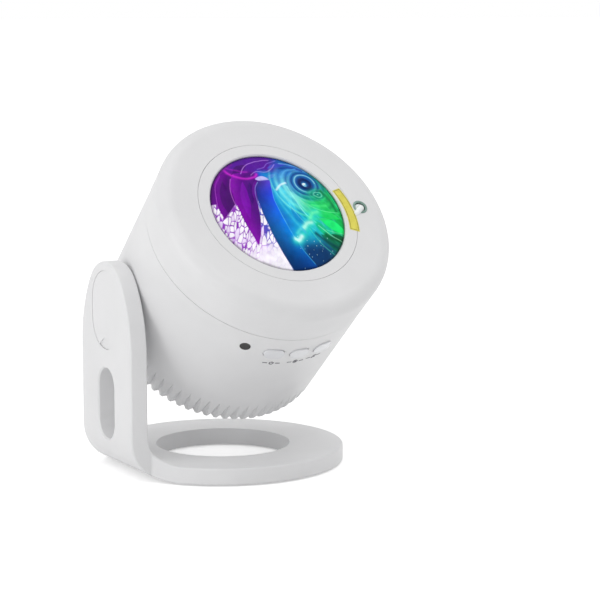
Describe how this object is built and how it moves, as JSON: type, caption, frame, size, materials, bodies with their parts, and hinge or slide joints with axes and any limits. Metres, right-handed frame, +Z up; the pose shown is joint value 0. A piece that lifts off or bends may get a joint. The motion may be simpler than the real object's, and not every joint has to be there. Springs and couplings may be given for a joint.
{
  "type": "star night light projector",
  "caption": "Tilting drum-shaped night light projector with a domed lens, side keys and a ribbed rear corner on an L-shaped stand with a ring foot.",
  "frame": {"origin": "on the surface it stands on, below the centre of the ring-shaped foot", "axes": "+Z up, -Y the way the lens leans, -X the side with the stand's arm, tilt axis along X"},
  "size_m": [0.1389, 0.1625, 0.1864],
  "materials": {
    "white_case": "satin",
    "white_key": "satin",
    "foot_rubber": "matte",
    "nylon": "smooth",
    "steel": "brushed",
    "clear_lens": "clear gloss",
    "brass_barrel": "satin",
    "wave_acrylic": "clear ripple",
    "dark_frame": "matte",
    "aluminium": "satin",
    "circuit_board": "matte",
    "led_face": "gloss",
    "mirror_cup": "mirror",
    "dark_window": "gloss",
    "speaker_paper": "paper"
  },
  "bodies": {
    "stand": {"stand_bracket": "white_case", "rubber_feet": "foot_rubber", "arm_cover": "white_case", "friction_washer": "nylon"},
    "head": {"pivot_hub": "white_case", "pressure_washer": "steel", "spring_washer": "steel", "pivot_screw": "steel", "main_shell": "white_case", "front_bezel": "white_case", "lens_ring": "white_case", "crystal_lens": "clear_lens", "laser_window": "clear_lens", "laser_module": "brass_barrel", "wave_motor": "steel", "optics_chassis": "dark_frame", "heat_sink": "aluminium", "led_board": "circuit_board", "led_emitters": "led_face", "reflector_cup": "mirror_cup", "control_board": "circuit_board", "tact_switches": "dark_frame", "receiver_window": "dark_window", "rear_cover": "white_case", "speaker_frame": "dark_frame", "speaker_cone": "speaker_paper", "speaker_magnet": "steel", "charging_socket": "steel", "power_board": "circuit_board", "front_screws": "steel", "rear_screws": "steel"},
    "power_key": {"power_key": "white_key"},
    "light_key": {"light_key": "white_key"},
    "music_key": {"music_key": "white_key"},
    "wave_wheel": {"wave_wheel": "wave_acrylic"},
    "motor_pinion": {"motor_pinion": "nylon"}
  },
  "joints": [
    {"name": "head_tilt", "type": "hinge", "parent": "stand", "child": "head", "pos_m": [0.0044, 0, 0.0906], "axis": [1, 0, 0], "range_deg": [-137.6, 42.4]},
    {"name": "power_key_press", "type": "slide", "parent": "head", "child": "power_key", "axis": [-0.0523, 0.6734, 0.7374], "range_m": [0, 0.0008], "stiffness_N_per_m": 1200},
    {"name": "light_key_press", "type": "slide", "parent": "head", "child": "light_key", "axis": [-0.0523, 0.6734, 0.7374], "range_m": [0, 0.0008], "stiffness_N_per_m": 1200},
    {"name": "music_key_press", "type": "slide", "parent": "head", "child": "music_key", "axis": [-0.0523, 0.6734, 0.7374], "range_m": [0, 0.0008], "stiffness_N_per_m": 1200},
    {"name": "wheel_spin", "type": "hinge", "parent": "head", "child": "wave_wheel", "pos_m": [0.0044, -0.04246, 0.12937], "axis": [0, -0.7385, 0.6743], "continuous": true},
    {"name": "pinion_spin", "type": "hinge", "parent": "head", "child": "motor_pinion", "pos_m": [-0.0376, -0.04246, 0.12937], "axis": [0, -0.7385, 0.6743], "continuous": true}
  ],
  "couplings": [
    {"joint": "pinion_spin", "follows": "wheel_spin", "ratio": -6}
  ]
}
